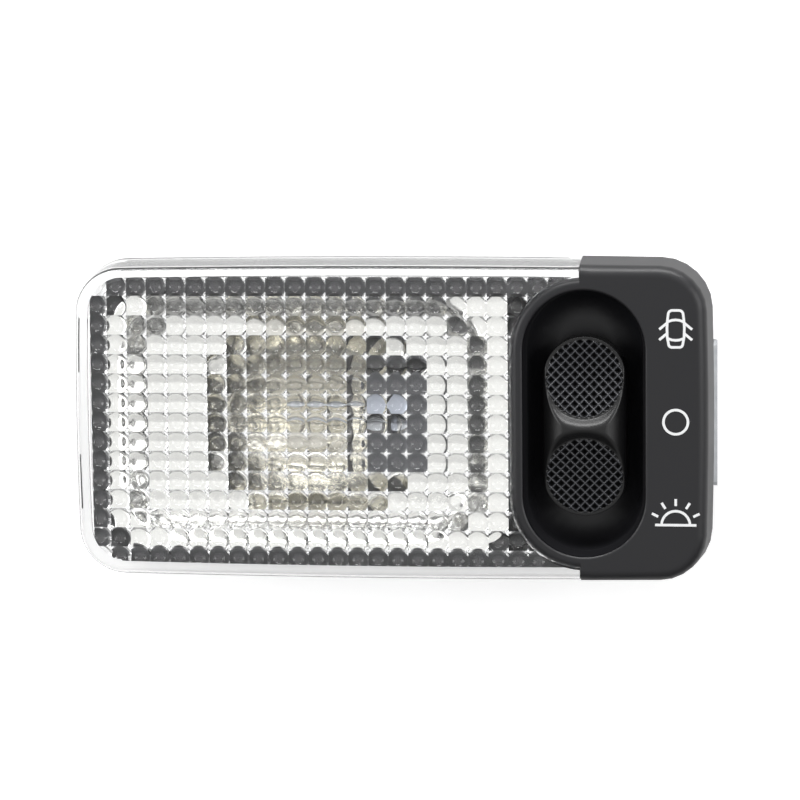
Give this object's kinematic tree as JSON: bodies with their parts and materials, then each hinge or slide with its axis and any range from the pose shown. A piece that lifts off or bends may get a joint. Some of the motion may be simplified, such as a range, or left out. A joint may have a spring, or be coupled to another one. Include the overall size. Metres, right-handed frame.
{
  "type": "car dome light",
  "caption": "Rectangular car interior lamp with a clear prismatic lens, a bulb in a bright reflector, a three-position rocker switch in an oval well, and a spring clip.",
  "frame": {"origin": "middle of the flat back, on the surface that the lamp lies on", "axes": "+Z out of the lit face, +X along the lamp towards the switch, +Y towards the door symbol"},
  "size_m": [0.106, 0.0534, 0.0243],
  "materials": {
    "black_plastic": "fine satin grain",
    "clear_plastic": "polished, clear",
    "bright_sheet": "bright, slightly brushed",
    "bulb_glass": "clear",
    "tungsten": "drawn wire",
    "lead_wire": "drawn wire",
    "holder_plastic": "satin",
    "contact_spring": "tinned",
    "brass_strip": "stamped",
    "silver_rivet": "smooth",
    "rocker_plastic": "satin, with a cross-ridged grip",
    "nylon": "smooth",
    "spring_wire": "drawn wire",
    "clip_steel": "galvanised"
  },
  "bodies": {
    "lamp": {"housing": "black_plastic", "lens": "clear_plastic", "reflector": "bright_sheet", "bulb_glass": "bulb_glass", "bulb_filament": "tungsten", "bulb_lead_upper": "lead_wire", "bulb_lead_lower": "lead_wire", "bulb_holder": "holder_plastic", "holder_contact_upper": "contact_spring", "holder_contact_lower": "contact_spring", "contact_carrier": "holder_plastic", "live_strip": "brass_strip", "common_strip": "brass_strip", "earth_strip": "brass_strip", "door_strip": "brass_strip", "fixed_rivets": "silver_rivet", "retaining_clip": "clip_steel"},
    "rocker": {"rocker": "rocker_plastic", "plunger_spring": "spring_wire"},
    "plunger": {"plunger": "nylon"},
    "seesaw": {"seesaw_contact": "brass_strip", "seesaw_rivets": "silver_rivet"}
  },
  "joints": [
    {"name": "rocker_tilt", "type": "hinge", "parent": "lamp", "child": "rocker", "pos_m": [0.0319, -0.0008, 0.012], "axis": [1, 0, 0], "range_deg": [-10, 10]},
    {"name": "plunger_slide", "type": "slide", "parent": "rocker", "child": "plunger", "axis": [0, 0, 1], "range_m": [0, 0.0008], "stiffness_N_per_m": 300, "springref_m": -0.002, "deforming": ["plunger_spring"]},
    {"name": "seesaw_tilt", "type": "hinge", "parent": "lamp", "child": "seesaw", "pos_m": [0.0319, -0.0008, 0.00546], "axis": [1, 0, 0], "range_deg": [-8, 8]}
  ],
  "couplings": [
    {"joint": "seesaw_tilt", "follows": "rocker_tilt", "ratio": -0.8}
  ]
}
